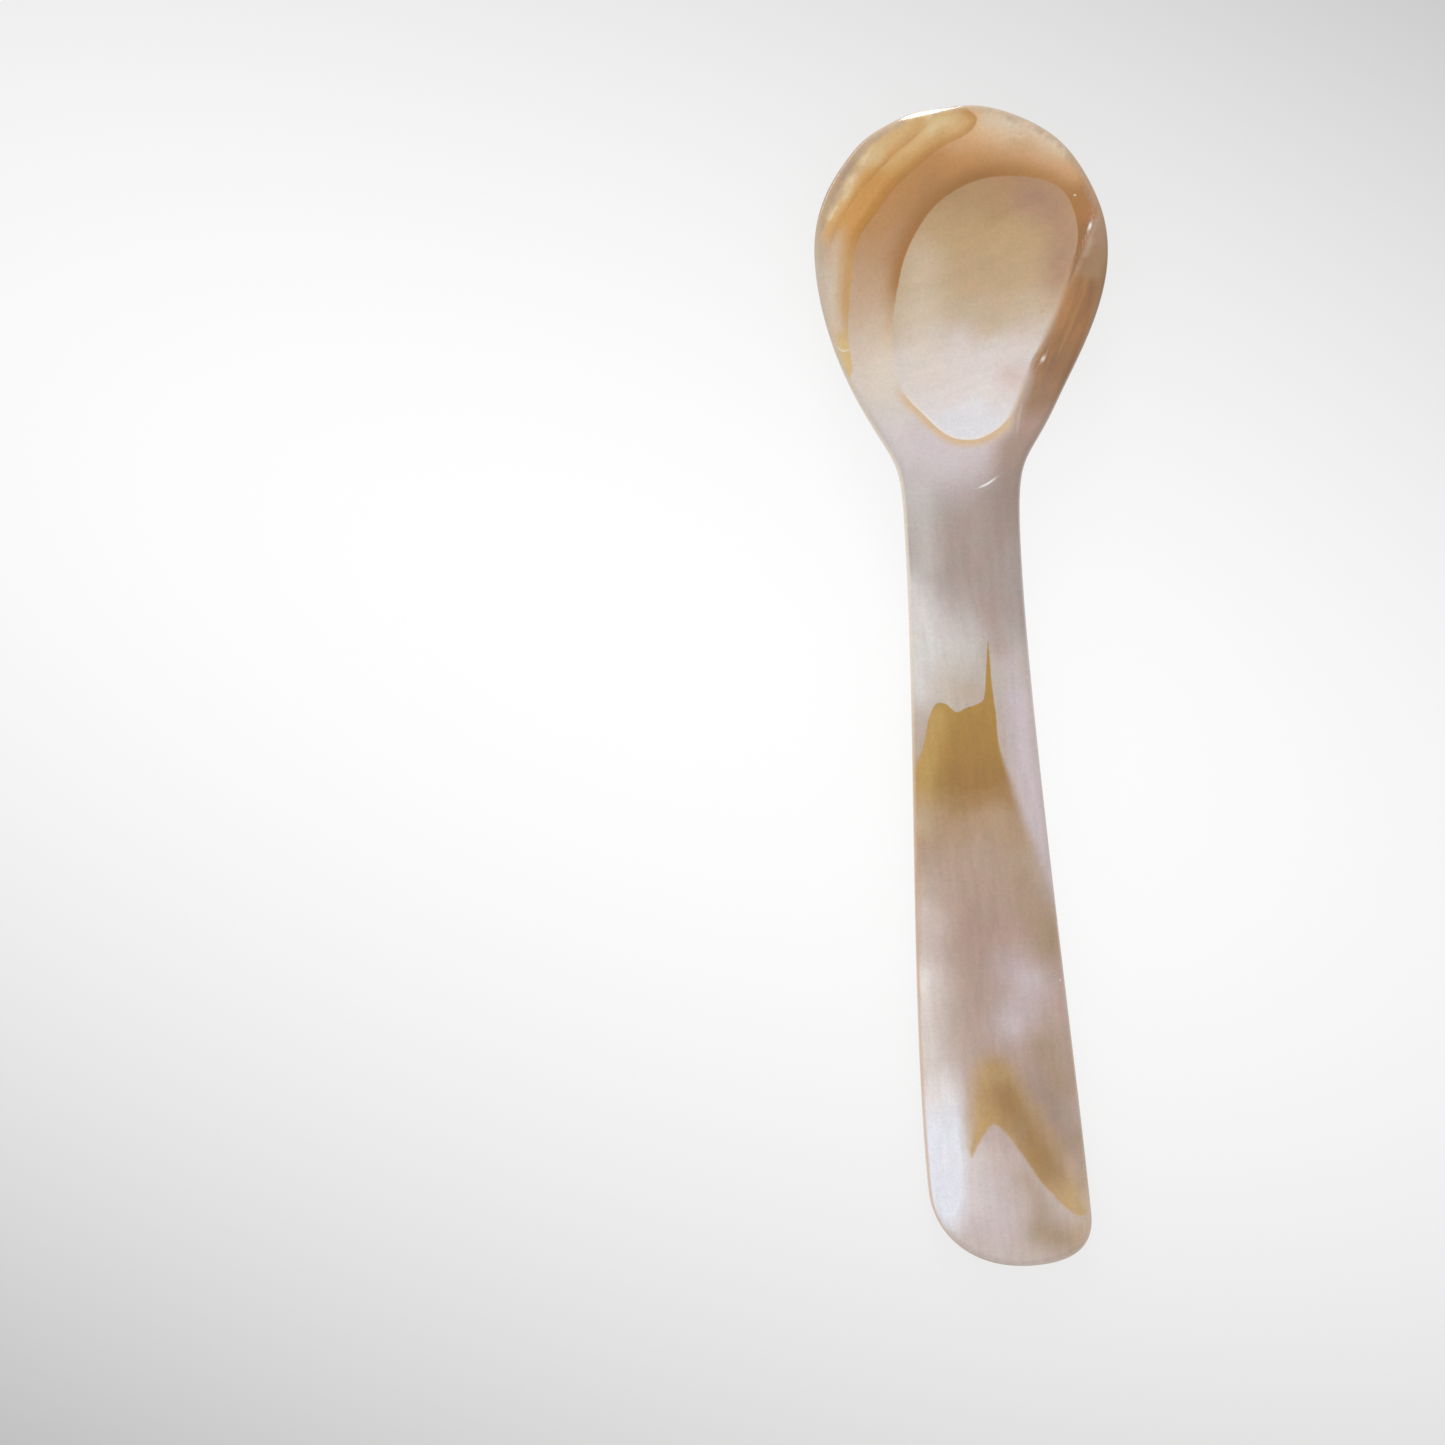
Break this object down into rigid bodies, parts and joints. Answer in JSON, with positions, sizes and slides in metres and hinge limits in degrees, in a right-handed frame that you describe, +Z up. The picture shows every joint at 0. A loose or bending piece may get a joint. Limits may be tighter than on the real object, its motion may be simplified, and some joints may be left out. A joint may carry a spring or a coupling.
{
  "type": "mother of pearl spoon",
  "caption": "Small spoon cut in one piece from pearly shell, with a round shallow bowl, a slim neck and a flat handle that widens to a blunt, rounded end.",
  "frame": {"origin": "under the middle of the spoon's length and width, on the surface it rests on", "axes": "+Y along the spoon from the handle's end to the bowl's tip, +Z up with the bowl's hollow facing up"},
  "size_m": [0.03, 0.12, 0.0069],
  "materials": {
    "shell": "polished"
  },
  "bodies": {
    "root": {"spoon": "shell"}
  },
  "joints": []
}
